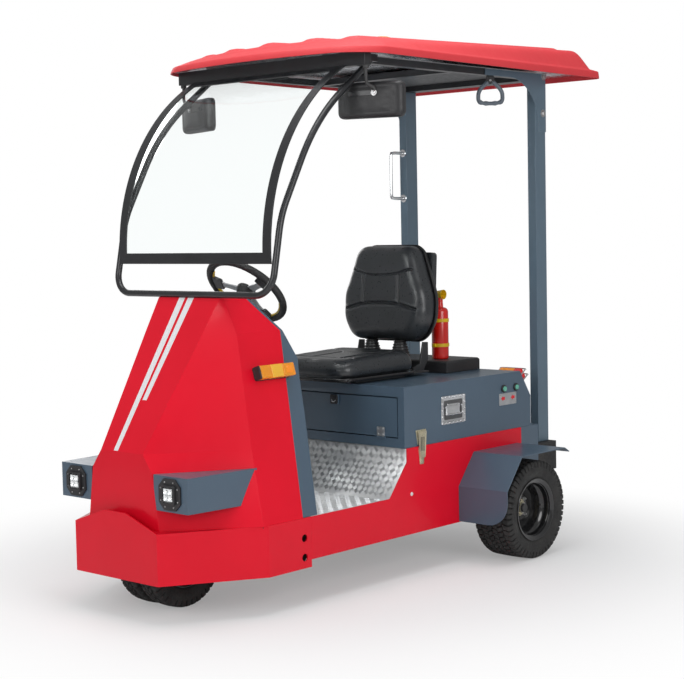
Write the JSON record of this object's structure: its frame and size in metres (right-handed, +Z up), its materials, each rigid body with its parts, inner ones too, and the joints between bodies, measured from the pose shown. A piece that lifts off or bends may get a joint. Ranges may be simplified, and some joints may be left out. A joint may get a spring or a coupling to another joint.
{
  "type": "airport baggage tug",
  "caption": "Open electric baggage tug with a faceted nose, curved windscreen, flat roof on posts, lifting seat deck, steered front wheels and a rear tow hitch.",
  "frame": {"origin": "floor, below the middle of the tug's overall box", "axes": "+X to the vehicle's left, +Y to its rear, +Z up; the nose faces -Y"},
  "size_m": [1.524, 2.64, 2.4434],
  "materials": {
    "red_paint": "gloss",
    "slate_paint": "gloss",
    "black_paint": "satin",
    "black_plastic": "grained",
    "vinyl": "grained",
    "tyre": "matt",
    "clear_glass": "clear",
    "amber_lens": "moulded lens",
    "lamp_black": "gloss",
    "checker": "raised tread",
    "foil": "crinkled",
    "bright_steel": "polished",
    "bottle_red": "gloss"
  },
  "bodies": {
    "tug": {"battery_block": "black_plastic", "beacon": "amber_lens", "body_sides": "red_paint", "bumper": "red_paint", "chassis_frame": "black_paint", "console": "slate_paint", "fenders": "slate_paint", "floor_pan": "checker", "grab_handles": "bright_steel", "headlamps": "lamp_black", "hood_shell": "red_paint", "lamp_boxes": "slate_paint", "mirrors": "black_plastic", "pedals": "black_plastic", "posts": "slate_paint", "rear_axle": "black_paint", "roof_frame": "black_paint", "roof_liner": "foil", "roof_shell": "red_paint", "side_lamps": "amber_lens", "steering_column": "black_plastic", "tail_plates": "slate_paint", "tow_hitch": "black_paint", "windscreen_frame": "black_paint", "windscreen_glass": "clear_glass", "windscreen_tube": "black_paint"},
    "rear_wheel_left": {"rear_tyre_left": "tyre", "rear_rim_left": "black_paint"},
    "rear_wheel_right": {"rear_tyre_right": "tyre", "rear_rim_right": "black_paint"},
    "fork": {"steering_fork": "black_paint"},
    "front_wheels": {"front_tyres": "tyre", "front_rims": "black_paint"},
    "handwheel": {"steering_wheel": "black_plastic"},
    "seat_deck": {"seat_box": "slate_paint", "seat_cushion": "vinyl", "seat_back": "vinyl", "seat_back_shell": "black_plastic", "seat_base": "black_plastic", "rear_tray": "black_plastic", "extinguisher": "bottle_red", "rear_lamps": "amber_lens", "cover_handles": "bright_steel"},
    "toolbox_door": {"box_door": "slate_paint"}
  },
  "joints": [
    {"name": "roll_rear_left", "type": "hinge", "parent": "tug", "child": "rear_wheel_left", "pos_m": [0.6215, 0.582, 0.2286], "axis": [1, 0, 0], "continuous": true},
    {"name": "roll_rear_right", "type": "hinge", "parent": "tug", "child": "rear_wheel_right", "pos_m": [-0.6215, 0.582, 0.2286], "axis": [1, 0, 0], "continuous": true},
    {"name": "steer", "type": "hinge", "parent": "tug", "child": "fork", "pos_m": [0, -1.034, 0.42], "axis": [0, 0, 1], "range_deg": [-45, 45]},
    {"name": "roll_front", "type": "hinge", "parent": "fork", "child": "front_wheels", "pos_m": [0, -1.034, 0.2], "axis": [1, 0, 0], "continuous": true},
    {"name": "turn_handwheel", "type": "hinge", "parent": "tug", "child": "handwheel", "pos_m": [0, -0.55, 1.282], "axis": [0, 0.7071, 0.7071], "range_deg": [-180, 180]},
    {"name": "lift_seat_deck", "type": "hinge", "parent": "tug", "child": "seat_deck", "pos_m": [0, 0.882, 0.578], "axis": [-1, 0, 0], "range_deg": [0, 30]},
    {"name": "open_toolbox", "type": "hinge", "parent": "seat_deck", "child": "toolbox_door", "pos_m": [0.078, -0.084, 0.614], "axis": [1, 0, 0], "range_deg": [0, 95]}
  ],
  "couplings": [
    {"joint": "turn_handwheel", "follows": "steer", "ratio": 4}
  ]
}
